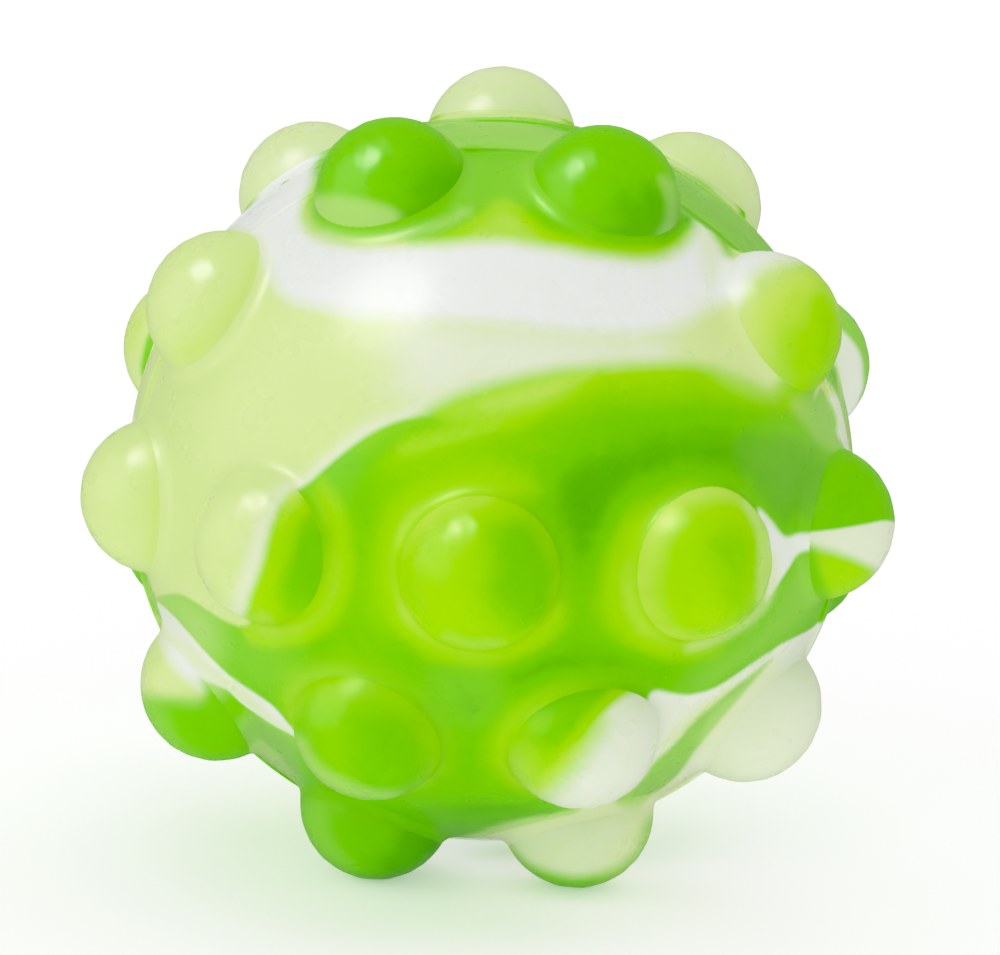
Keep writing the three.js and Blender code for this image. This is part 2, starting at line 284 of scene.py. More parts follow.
# Smooth patches on the shell: (kind, amount, softness, points). A shift moves the green towards lime
# (below zero) or darker; the milky kind is the share of pale colour. Most patches are the marbling's
# own colour; the ones marked below paint shade, reflections and highlights.
TINT_FRONT = [
    # the cap at the top
    ("shift", -0.26, 15, [(330, 252), (420, 242), (460, 229), (485, 213), (503, 201), (524, 213),
                          (545, 230), (600, 247), (645, 251), (672, 245), (689, 230), (704, 240),
                          (680, 266), (640, 275), (600, 276), (540, 264), (500, 258), (440, 260),
                          (350, 260)]),
    ("shift", -0.26, 12, [(292, 232), (296, 208), (306, 188), (318, 178), (312, 200), (308, 218),
                          (318, 234), (345, 242), (400, 243), (400, 256), (340, 258), (304, 250)]),
    ("shift", 0.10, 9, [(600, 232), (640, 238), (668, 231), (684, 215), (690, 222), (672, 239),
                        (640, 245), (600, 240)]),
    ("milk_and_sheen", 0.10, 24, [(455, 160), (540, 160), (535, 195), (510, 215), (470, 212), (450, 190)]),
    ("milk_and_sheen", 0.36, 8, [(311, 205), (318, 222), (335, 233), (360, 237), (390, 234), (420, 227),
                       (448, 216), (460, 206), (474, 212), (444, 228), (400, 241), (350, 245),
                       (313, 238), (303, 216)]),
    ("milk_and_sheen", 0.14, 12, [(480, 225), (500, 212), (520, 222), (535, 238), (500, 244), (470, 240)]),
    ("milk_and_sheen", 0.78, 4, [(420, 96), (500, 92), (582, 100), (594, 134), (572, 126), (540, 121),
                       (500, 120), (460, 121), (424, 125)]),
    ("milk_and_sheen", 0.78, 4, [(660, 136), (700, 148), (736, 178), (764, 216), (752, 224), (735, 207),
                       (718, 192), (702, 180), (686, 170), (668, 161)]),
    # painted reflection on the rim band along the top
    ("milk_and_sheen", 0.30, 7, [(430, 118), (480, 124), (520, 126), (560, 134), (580, 152), (540, 154),
                       (500, 151), (470, 149), (440, 148)]),
    # painted reflection: a grey sheen on the rim band at the upper right; the patch after it makes
    # that band a little darker green
    ("milk_and_sheen", 0.22, 6, [(662, 148), (705, 164), (738, 194), (764, 224), (786, 256), (745, 260),
                       (735, 251), (717, 236), (695, 219), (672, 206)]),
    ("shift", 0.05, 8, [(662, 148), (705, 164), (738, 194), (764, 224), (786, 256), (745, 260),
                        (735, 251), (717, 236), (695, 219), (672, 206)]),
    # the upper edge of the big green field
    ("shift", -0.17, 34, [(356, 458), (372, 432), (400, 414), (440, 396), (500, 380), (560, 362),
                          (640, 352), (720, 356), (790, 392), (800, 412), (740, 405), (680, 398),
                          (620, 402), (560, 412), (500, 428), (440, 446), (400, 456)]),
    ("shift", -0.09, 46, [(378, 476), (420, 450), (500, 440), (560, 446), (520, 470), (450, 475),
                          (410, 500), (392, 560), (390, 620), (362, 640), (352, 600), (366, 540)]),
    ("shift", -0.14, 12, [(440, 404), (480, 391), (520, 379), (560, 370), (620, 362), (680, 360),
                          (680, 370), (600, 380), (550, 402), (500, 416), (450, 420)]),
    ("shift", 0.10, 10, [(342, 462), (380, 436), (410, 422), (440, 412), (468, 405), (484, 410),
                         (474, 420), (444, 428), (412, 438), (384, 454), (356, 474)]),
    ("shift", -0.09, 8, [(402, 447), (440, 434), (480, 425), (530, 416), (530, 423), (480, 433),
                         (440, 443), (406, 454)]),
    ("milk_and_sheen", 0.15, 13, [(440, 410), (470, 396), (510, 384), (550, 376), (586, 374), (560, 398),
                        (520, 411), (490, 417), (455, 418)]),
    ("milk_and_sheen", 0.12, 8, [(402, 447), (440, 434), (480, 425), (500, 424), (480, 433), (440, 443),
                       (406, 454)]),
    ("shift", 0.10, 22, [(702, 332), (724, 310), (746, 314), (754, 345), (768, 380), (738, 372),
                         (712, 356)]),
    ("milk_and_sheen", 0.05, 20, [(330, 462), (350, 440), (380, 422), (420, 404), (450, 398), (440, 420),
                        (400, 440), (370, 455), (345, 474)]),
    ("milk_and_sheen", 0.75, 26, [(690, 322), (720, 304), (745, 318), (752, 350), (772, 388), (740, 380),
                        (712, 362), (692, 345)]),
    ("milk_and_sheen", 0.45, 14, [(698, 226), (715, 236), (722, 262), (712, 290), (700, 262)]),
    # round the bubbles
    ("shift", -0.14, 20, [(395, 520), (412, 494), (440, 477), (480, 468), (520, 474), (545, 492),
                          (515, 494), (470, 492), (425, 508), (402, 540)]),
    ("shift", -0.10, 14, [(394, 620), (420, 648), (460, 664), (500, 664), (540, 650), (566, 622),
                          (556, 606), (530, 636), (490, 650), (440, 640), (404, 604)]),
    ("shift", -0.15, 12, [(322, 478), (340, 500), (350, 540), (348, 590), (330, 624), (296, 644),
                          (252, 644), (250, 626), (290, 626), (318, 606), (332, 570), (333, 530),
                          (318, 494)]),
    ("shift", -0.12, 26, [(600, 620), (602, 560), (620, 510), (640, 500), (632, 560), (640, 610),
                          (670, 645), (720, 650), (690, 668), (640, 655)]),
    # painted reflection in the fillet along the lower right of front_inner_bubble_4
    ("milk_and_sheen", 0.58, 8, [(777, 556), (778, 585), (770, 606), (753, 624), (730, 638), (705, 648),
                       (688, 650), (690, 642), (715, 635), (738, 621), (755, 602), (765, 580),
                       (769, 556)]),
    # greyer and darker parts of the green
    ("milk_and_sheen", 0.12, 36, [(740, 440), (800, 420), (830, 440), (815, 510), (780, 515), (750, 480)]),
    # painted reflection: a grey sheen on the rim band at the right, with a thin pale highlight along
    # its step in the next patch
    ("milk_and_sheen", 0.36, 16, [(792, 404), (812, 396), (826, 380), (846, 420), (850, 460), (826, 452),
                        (806, 430)]),
    ("milk_and_sheen", 0.48, 6, [(832, 366), (846, 396), (852, 430), (856, 462), (846, 458), (840, 430),
                       (836, 404)]),
    ("shift", 0.12, 40, [(560, 480), (640, 450), (720, 436), (800, 445), (830, 470), (812, 515),
                         (780, 518), (745, 485), (690, 465), (640, 482), (606, 530), (585, 560),
                         (560, 540)]),
    ("shift", 0.11, 26, [(510, 672), (560, 652), (640, 654), (700, 664), (690, 678), (620, 674),
                         (560, 674), (520, 688)]),
    ("shift", 0.05, 26, [(440, 672), (490, 668), (498, 700), (480, 730), (450, 720)]),
    ("milk_and_sheen", 0.06, 26, [(430, 672), (495, 668), (500, 710), (470, 730), (440, 710)]),
    ("shift", 0.06, 30, [(300, 812), (400, 806), (500, 800), (565, 808), (480, 838), (400, 870),
                         (330, 860)]),
    # the tongue at the left and the wedge under it
    ("milk_and_sheen", 0.46, 44, [(120, 580), (180, 588), (214, 612), (222, 650), (200, 655), (172, 622),
                        (120, 606)]),
    ("milk_and_sheen", 0.09, 50, [(180, 600), (240, 620), (290, 650), (300, 690), (260, 690), (215, 660)]),
    ("shift", 0.10, 12, [(248, 716), (275, 730), (297, 746), (303, 788), (285, 782), (248, 752)]),
    ("milk_and_sheen", 0.28, 8, [(246, 712), (275, 728), (297, 744), (306, 792), (285, 784), (246, 754)]),
    ("milk_and_sheen", 0.52, 8, [(256, 738), (274, 750), (292, 770), (300, 786), (284, 780), (262, 760),
                       (250, 748)]),
    # the lower right
    ("milk_and_sheen", 0.17, 30, [(800, 552), (822, 590), (800, 624), (750, 664), (700, 692), (690, 682),
                        (730, 652), (766, 616), (786, 576)]),
    ("milk_and_sheen", 0.30, 10, [(614, 803), (644, 770), (684, 724), (710, 706), (720, 730), (690, 768),
                        (650, 800)]),
    # painted shade over the lower right
    ("shift", 0.05, 24, [(630, 690), (700, 692), (760, 656), (820, 622), (836, 640), (806, 700),
                         (700, 796), (600, 836), (540, 822), (600, 800), (650, 750)]),
    ("milk_and_sheen", 0.44, 16, [(704, 716), (740, 684), (776, 656), (770, 684), (740, 714), (712, 744),
                        (690, 756)]),
    ("milk_and_sheen", 0.66, 6, [(730, 684), (700, 707), (684, 720), (668, 735), (656, 750), (666, 748),
                       (684, 732), (702, 717), (730, 692)]),
    ("milk_and_sheen", 0.62, 7, [(455, 842), (500, 824), (560, 813), (600, 802), (640, 797), (690, 772),
                       (704, 758), (694, 790), (640, 816), (560, 830), (500, 846)]),
    ("milk_and_sheen", 0.42, 10, [(182, 650), (204, 663), (217, 676), (227, 690), (214, 696), (200, 684),
                        (188, 668)]),
    ("milk_and_sheen", 0.60, 8, [(152, 606), (185, 638), (214, 666), (246, 690), (292, 735), (262, 718),
                       (228, 691), (190, 656), (160, 626)]),
]

# Outlines on the far side, in degrees on the back chart.
SHELL_BACK = [
    ("pale", 3.0, [(-112, 70), (-60, 82), (-10, 74), (30, 60), (70, 46), (60, 20), (20, 24),
                   (-20, 14), (-60, -2), (-105, 6)]),
    ("white", 2.2, [(-110, 26), (-70, 14), (-40, 22), (-8, 36), (24, 38), (52, 26), (84, 24),
                    (110, 8), (112, -10), (84, 2), (56, 4), (26, 16), (-6, 12), (-36, -2),
                    (-68, -10), (-108, 0)]),
    ("white", 1.4, [(-60, -46), (-34, -38), (-6, -44), (20, -60), (44, -84), (20, -100),
                    (0, -76), (-22, -62), (-50, -64)]),
    ("pale", 3.0, [(-108, -24), (-76, -34), (-64, -60), (-90, -88), (-120, -60)]),
    ("green", 1.2, [(-70, 8), (-44, 14), (-16, 26), (12, 27), (36, 17), (62, 10), (96, 12),
                    (98, -34), (66, -58), (34, -62), (10, -46), (-16, -36), (-44, -30),
                    (-66, -20)]),
    ("lime", 6.0, [(-40, 8), (-12, 18), (16, 17), (44, 4), (60, -6), (30, -4), (2, -6),
                   (-28, -8)]),
    ("dark", 9.0, [(20, -18), (56, -18), (70, -36), (44, -46), (18, -40)]),
    ("lime", 8.0, [(-30, 96), (10, 92), (40, 80), (34, 70), (0, 78), (-30, 84)]),
]

TINT_BACK = [
    ("shift", -0.14, 9.0, [(-50, 2), (-20, 12), (14, 12), (40, 0), (20, -12), (-20, -14)]),
    ("milk_and_sheen", 0.35, 5.0, [(50, 8), (80, 10), (96, -4), (90, -20), (66, -8)]),
    ("shift", 0.10, 9.0, [(20, -22), (60, -22), (72, -40), (44, -50), (18, -42)]),
    ("milk_and_sheen", 0.30, 4.0, [(-66, -8), (-40, -24), (-16, -30), (-20, -38), (-50, -34)]),
]

# Bubbles: (layer, softness in pixels, points in the frame), or the whole dome
# with a set amount, or (layer, softness in mm, points across the dome in mm), or
# a smooth patch as on the shell.
WHOLE = "whole"
DOMES = {
    # front_rim_bubble_07: the first patch is painted shade on the bubble's right side, away from the
    # light
    "front_rim_bubble_07": [("shift", 0.12, 40, [(410, 190), (440, 160), (475, 165), (468, 205),
                                                 (425, 230), (400, 226)]),
                            # painted reflection of the soft box along the bubble's lower left
                            ("milk_and_sheen", 0.42, 7, [(308, 196), (345, 197), (374, 202), (392, 209),
                                               (400, 218), (388, 230), (360, 236), (325, 232),
                                               (308, 215)])],
    # front_rim_bubble_06: the first patch is painted shade on the bubble's lower right
    "front_rim_bubble_06": [("shift", 0.12, 40, [(600, 225), (650, 195), (690, 205), (685, 250),
                                                 (620, 256), (575, 240)]),
                            # painted highlight: a pale glint band along the bubble's right edge
                            ("milk_and_sheen", 0.28, 6, [(658, 176), (674, 182), (679, 205), (675, 228),
                                               (662, 240), (657, 236), (665, 220), (665, 200)]),
                            # painted highlight: a thin bright line along the bubble's lower-left edge
                            ("milk_and_sheen", 0.55, 3, [(532, 193), (545, 208), (560, 218), (579, 226),
                                               (577, 230), (558, 223), (542, 213), (530, 198)])],
    "front_rim_bubble_08": [("pale", WHOLE, FAR),
                            # painted shade on the bubble's lower right
                            ("shift", 0.10, 24, [(262, 262), (252, 300), (226, 342), (190, 366),
                                                 (170, 350), (205, 326), (236, 284), (250, 250)])],
    "front_rim_bubble_05": [("pale", WHOLE, FAR),
                            ("white", 22, [(711, 330), (718, 275), (746, 245), (796, 240),
                                           (802, 260), (771, 266), (748, 283), (734, 313),
                                           (738, 343), (724, 350)]),
                            ("lime", 24, [(738, 328), (748, 302), (766, 281), (796, 265), (824, 268),
                                          (852, 330), (846, 385), (811, 408), (784, 404),
                                          (750, 366)]),
                            ("shift", -0.18, 48, [(726, 330), (752, 276), (800, 258), (822, 276),
                                                  (800, 310), (772, 340), (750, 356)]),
                            ("milk_and_sheen", 0.42, 24, [(728, 342), (740, 300), (764, 268), (790, 256),
                                                (796, 268), (774, 290), (757, 320), (764, 356),
                                                (780, 386), (770, 392), (744, 364)]),
                            ("shift", 0.08, 12, [(814, 300), (830, 304), (836, 340), (828, 372),
                                                 (806, 396), (796, 392), (814, 372), (820, 336)])],
    "front_rim_bubble_09": [("pale", WHOLE, FAR),
                            # painted shade on the bubble's right side
                            ("shift", 0.10, 22, [(158, 440), (164, 490), (160, 545), (150, 565),
                                                 (146, 530), (148, 470)])],
    "front_rim_bubble_04": [("pale", WHOLE, FAR), ("white", WHOLE, 0.08),
                            ("green", 4, [(770, 537), (800, 533), (820, 531), (850, 527),
                                          (880, 521), (910, 513), (910, 430), (770, 430),
                                          (770, 500)]),
                            ("lime", 12, [(792, 545), (812, 547), (834, 552), (856, 560),
                                          (876, 572), (864, 590), (842, 606), (815, 614),
                                          (786, 614), (784, 575)]),
                            ("shift", 0.20, 9, [(798, 545), (814, 548), (822, 572), (830, 602),
                                                (808, 612), (794, 590)]),
                            ("shift", 0.14, 12, [(805, 450), (822, 446), (822, 480), (812, 510),
                                                 (808, 532), (790, 530)])],
    "front_rim_bubble_10": [("pale", WHOLE, FAR),
                            ("white", 16, [(160, 634), (178, 644), (200, 668), (216, 690),
                                           (196, 686), (172, 664)]),
                            ("green", 14, [(125, 692), (160, 694), (190, 696), (204, 694),
                                           (204, 678), (220, 686), (260, 715), (275, 775),
                                           (200, 790), (125, 760)]),
                            ("milk_and_sheen", 0.55, 12, [(130, 676), (170, 682), (200, 690), (196, 702),
                                                (170, 700), (130, 700)]),
                            ("milk_and_sheen", 0.16, 12, [(136, 700), (160, 700), (176, 740), (200, 762),
                                                (170, 752), (145, 725)])],
    "front_rim_bubble_03": [("pale", WHOLE, FAR), ("white", WHOLE, 0.10)],
    # front_rim_bubble_01: the first patch is painted shade on the bubble's lower right
    "front_rim_bubble_01": [("shift", 0.16, 40, [(405, 810), (455, 800), (460, 860), (405, 892),
                                                 (380, 885), (400, 850)]),
                            ("milk_and_sheen", 0.14, 10, [(300, 800), (322, 810), (335, 840), (352, 866),
                                                (330, 860), (308, 836)])],
    "front_rim_bubble_02": [("pale", WHOLE, FAR), ("white", WHOLE, -0.06),
                            ("green", 13, [(500, 834), (518, 855), (541, 869), (575, 877),
                                           (612, 869), (635, 850), (646, 820), (668, 820),
                                           (662, 870), (612, 900), (575, 904), (520, 896),
                                           (490, 860)]),
                            ("shift", -0.08, 8, [(500, 832), (518, 853), (541, 867), (575, 875),
                                                 (612, 867), (634, 850), (638, 856), (614, 876),
                                                 (575, 884), (538, 876), (512, 860)]),
                            ("milk_and_sheen", 0.45, 26, [(600, 800), (660, 790), (670, 850), (640, 880),
                                                (610, 880), (620, 840)])],
    "front_inner_bubble_1": [("pale", WHOLE, FAR),
                             ("white", 56, [(308, 478), (288, 494), (272, 513), (262, 537),
                                            (255, 562), (246, 592), (241, 625), (260, 650),
                                            (360, 650), (360, 460)]),
                             ("green", 12, [(303, 484), (288, 494), (276, 512), (268, 535),
                                            (262, 560), (254, 583), (247, 604), (246, 630),
                                            (290, 645), (360, 630), (360, 470), (325, 472)]),
                             ("shift", -0.23, 17, [(326, 478), (306, 496), (294, 525), (288, 558),
                                                   (278, 590), (276, 628), (240, 625), (250, 580),
                                                   (266, 520), (290, 484)]),
                             ("shift", 0.10, 16, [(310, 520), (326, 530), (330, 560), (322, 600),
                                                  (306, 606), (302, 560)])],
    "front_inner_bubble_2": [("shift", -0.10, 40, [(310, 700), (340, 690), (360, 720), (350, 780),
                                                   (320, 770), (300, 735)]),
                             # painted highlight: a bright line along the bubble's lower-left edge
                             ("milk_and_sheen", 0.34, 7, [(292, 738), (302, 762), (322, 783), (350, 797),
                                                (396, 803), (404, 794), (372, 789), (342, 778),
                                                (318, 762), (303, 738)])],
    "front_inner_bubble_3": [("pale", WHOLE, FAR), ("white", WHOLE, 0.24),
                             ("green", 9, [(640, 685), (621, 699), (605, 713), (592, 729),
                                            (580, 746), (567, 762), (552, 777), (537, 792),
                                            (522, 807), (490, 810), (480, 740), (505, 680),
                                            (560, 655), (620, 660)]),
                             ("lime", 30, [(512, 754), (556, 748), (602, 720), (592, 745),
                                           (562, 782), (532, 802), (510, 782)]),
                             # painted shade along the crease at the bubble's top
                             ("shift", 0.17, 14, [(522, 712), (556, 688), (606, 682), (600, 696),
                                                  (556, 710)]),
                             ("shift", -0.14, 10, [(654, 684), (634, 700), (618, 716), (606, 732),
                                                   (594, 750), (582, 766), (568, 782), (550, 798),
                                                   (536, 812), (516, 804), (540, 780), (560, 756),
                                                   (576, 732), (596, 706), (620, 690)]),
                             ("milk_and_sheen", 0.12, 20, [(500, 750), (516, 744), (536, 768), (540, 800),
                                                 (520, 804), (504, 780)])],
    "front_inner_bubble_4": [("white", WHOLE, FAR),
                             ("lime", 6, [(620, 570), (630, 518), (662, 484), (705, 478),
                                          (738, 490), (758, 510), (771, 536), (777, 565),
                                          (772, 594), (756, 624), (730, 646), (700, 660),
                                          (655, 650), (628, 614)]),
                             # painted reflection: a pale band along the bubble's right edge
                             ("milk_and_sheen", 0.46, 5, [(746, 498), (763, 514), (774, 540), (778, 566),
                                                (772, 592), (760, 612), (757, 596), (758, 560),
                                                (756, 532), (744, 508)]),
                             # painted reflection along the bubble's top edge
                             ("milk_and_sheen", 0.11, 8, [(664, 492), (690, 484), (722, 486), (744, 500),
                                                (720, 500), (690, 500)]),
                             ("shift", 0.10, 26, [(704, 540), (750, 530), (756, 570), (752, 606),
                                                  (734, 620)])],
    "front_crown_bubble": [("lime", 60, [(395, 520), (420, 490), (480, 480), (505, 492),
                                         (490, 540), (490, 600), (520, 640), (475, 655),
                                         (420, 650), (395, 600)]),
                           # painted reflection of the floor: a pale arc at the bubble's bottom
                           ("milk_and_sheen", 0.15, 6, [(446, 632), (470, 640), (506, 640), (504, 648),
                                              (468, 650), (440, 640)])],
    "rear_rim_bubble_06": [("pale", WHOLE, FAR), ("white", WHOLE, -0.2)],
    "rear_rim_bubble_05": [("pale", WHOLE, FAR), ("white", WHOLE, -0.25)],
    "rear_rim_bubble_07": [("pale", WHOLE, FAR), ("white", WHOLE, -0.2)],
    "rear_rim_bubble_04": [("white", WHOLE, FAR),
                           ("green", 6, [(820, 284), (850, 290), (876, 315), (894, 350),
                                         (892, 396), (868, 430), (856, 412), (863, 388),
                                         (861, 358), (851, 340), (838, 328), (820, 322)]),
                           ("milk_and_sheen", 0.22, WHOLE, [])],
    "rear_rim_bubble_08": [("pale", WHOLE, FAR),
                           ("shift", 0.08, 24, [(120, 318), (142, 298), (158, 312), (150, 340),
                                                (132, 362), (114, 350)]),
                           ("green", 6, [(160, 326), (150, 332), (144, 350), (141, 374),
                                         (152, 380), (170, 350)])],
    "rear_rim_bubble_09": [],
    "rear_rim_bubble_03": [("dark", WHOLE, 0.1)],
    "rear_rim_bubble_01": [("pale", WHOLE, FAR),
                           ("lime", "mm", 1.2, [(-8, -2), (-2, 0.5), (3, -1), (8, 2), (8, -8),
                                                (-8, -8)])],
    "rear_rim_bubble_02": [("white", "mm", 0.8, [(-8, 1), (-2, 2.2), (3, 5), (8, 6), (8, 9),
                                                 (-8, 9)])],
    "rear_rim_bubble_10": [("lime", WHOLE, 0.3)],
    "rear_inner_bubble_1": [("lime", WHOLE, FAR),
                            ("lime", "mm", 0.8, [(-7, 3), (-2, 2), (2, 3.4), (7, 6), (7, 9),
                                                 (-7, 9)])],
    "rear_inner_bubble_2": [("lime", "mm", 3.0, [(-7, -1), (0, -2), (7, 1), (7, -8), (-7, -8)])],
    "rear_inner_bubble_3": [("white", WHOLE, FAR),
                            ("green", "mm", 0.7, [(-8, -8), (-3, -6), (0, -1), (-1, 3),
                                                  (-4, 8), (-9, 8)])],
    "rear_inner_bubble_4": [("pale", WHOLE, FAR),
                            ("white", "mm", 1.5, [(-8, 0), (0, 1.5), (8, 0), (8, 4), (0, 5),
                                                  (-8, 3)])],
    "rear_crown_bubble": [("lime", WHOLE, 0.3),
                          ("dark", "mm", 4.0, [(0, -7), (7, -3), (7, 3), (3, 0)])],
}


def soft_amount(layer_values, layer, values):
    layer_values[layer] = np.maximum(layer_values[layer], np.clip(values, -FAR, FAR))


def tint(layer_values, kind, amount, values):
    """Adds a smooth patch: a shift of the tone, or a share of pale colour. They carry the marbling,
    and in places painted shade, reflections and highlights.
    """
    t = np.clip(0.5 + 0.5 * values, 0, 1)
    patch = amount * t * t * (3 - 2 * t)
    if kind == "shift":
        layer_values["shift"] += patch
    else:
        layer_values["milk_and_sheen"] = np.maximum(layer_values["milk_and_sheen"], patch)


def marble_shell(dirs):
    """The layers' amounts at unit directions on the shell."""
    out = {k: np.full(len(dirs), -FAR) for k in LAYERS}
    front, back = chart(dirs), chart(dirs, back=True)
    for layer, soft, points in SHELL_FRONT:
        soft /= PX_PER_DEG
        line = spline(px_to_chart(points))
        soft_amount(out, layer, inside(line, front, FAR * soft) / soft)
    for layer, soft, points in SHELL_BACK:
        soft_amount(out, layer, inside(spline(points), back, FAR * soft) / soft)
    out["shift"], out["milk_and_sheen"] = np.zeros(len(dirs)), np.zeros(len(dirs))
    for kind, amount, soft, points in TINT_FRONT:
        soft /= PX_PER_DEG
        tint(out, kind, amount, inside(spline(px_to_chart(points)), front, FAR * soft) / soft)
    for kind, amount, soft, points in TINT_BACK:
        tint(out, kind, amount, inside(spline(points), back, FAR * soft) / soft)
    return out


def marble_dome(name, points):
    """The layers' amounts at points (millimetres) on a bubble."""
    out = {k: np.full(len(points), -FAR) for k in LAYERS}
    px = to_px(points)
    d = BUBBLES[name]
    u, v = tangents(d)
    across = np.stack([(points - CENTRE) @ u, (points - CENTRE) @ v], -1)
    out["shift"], out["milk_and_sheen"] = np.zeros(len(points)), np.zeros(len(points))
    for entry in DOMES[name]:
        if entry[0] in ("shift", "milk_and_sheen"):
            kind, amount, soft, line = entry
            if soft == WHOLE:
                tint(out, kind, amount, np.full(len(points), 1.0))
            else:
                tint(out, kind, amount, inside(spline(line), px, FAR * soft) / soft)
        elif entry[1] == WHOLE:
            soft_amount(out, entry[0], np.full(len(points), entry[2]))
        elif entry[1] == "mm":
            soft_amount(out, entry[0], inside(spline(entry[3]), across, FAR * entry[2]) / entry[2])
        else:
            soft_amount(out, entry[0], inside(spline(entry[2]), px, FAR * entry[1]) / entry[1])
    return out


# ---------------------------------------------------------------- meshes

def wobble(d):
    """Slow unevenness of the moulding, in millimetres."""
    x, y, z = d[:, 0], d[:, 1], d[:, 2]
    return 0.035 * (np.sin(6.1 * x + 1.3 * y + 0.7) * np.sin(5.3 * z - 2.1 * y + 1.9)
                    + 0.6 * np.sin(9.7 * y - 4.2 * z + 0.4) * np.sin(8.3 * x + 3.1 * z + 2.2))


CREASE_RISE = CREASE_R - SHELL_R
STEP_C = np.array([75.36, 75.44, 75.50, 75.56, 75.63, 75.74, 76.0])     # the rim band's step
STEP_H = np.array([0.0, 0.05, 0.13, 0.20, 0.235, 0.247, 0.25])
EDGE_N = np.array([0.10, 0.13, 0.19, 0.28, 0.42, 0.66, 1.0])
EDGE_H = np.array([-0.55, -0.34, -0.17, -0.07, -0.02, 0.0, 0.0])


def angle_at(s):
    """Angle from a bubble's axis to the shell's surface at a lateral distance."""
    return math.asin(s / (SHELL_R + float(np.interp(s, RIM_S, SKIRT))))


RIM_A = np.array([angle_at(s) for s in RIM_S] + [1.0])


def lateral(near):
    """Lateral distance on the shell's surface at angles from a bubble's axis."""
    return np.interp(near, RIM_A, np.append(RIM_S, SHELL_R * math.sin(1.0)))


def shell_radius(d, pole, axes):
    """Outer radius of a half shell along unit directions."""
    near = np.arccos(np.clip((d @ axes.T).max(1), -1, 1))
    s = lateral(near)
    c = np.degrees(np.arccos(np.clip(d @ pole, -1, 1)))
    collar = np.interp(c, STEP_C, STEP_H)
    skirt = np.interp(s, RIM_S, SKIRT)
    rise = (collar ** 4 + skirt ** 4) ** 0.25
    rise = np.where(s < RIM_S[0] + 1e-6, CREASE_RISE, rise)
    edge = np.interp(np.radians(90 - c) * SHELL_R, EDGE_N, EDGE_H)
    return SHELL_R + rise + edge + wobble(d)


def make_mesh(name, verts, faces, floats, rest):
    mesh = bpy.data.meshes.new(name)
    mesh.from_pydata((np.asarray(verts) * MM).tolist(), [], faces)
    mesh.validate()
    mesh.update()
    for key, values in floats.items():
        a = mesh.attributes.new(key, "FLOAT", "POINT")
        a.data.foreach_set("value", np.asarray(values, np.float32))
    a = mesh.attributes.new("rest", "FLOAT_VECTOR", "POINT")
    a.data.foreach_set("vector", (np.asarray(rest) * MM).astype(np.float32).ravel())
    mesh.polygons.foreach_set("use_smooth", [True] * len(mesh.polygons))
    mesh.set_sharp_from_angle(angle=math.radians(58))
    obj = bpy.data.objects.new(name, mesh)
    bpy.context.scene.collection.objects.link(obj)
    return obj


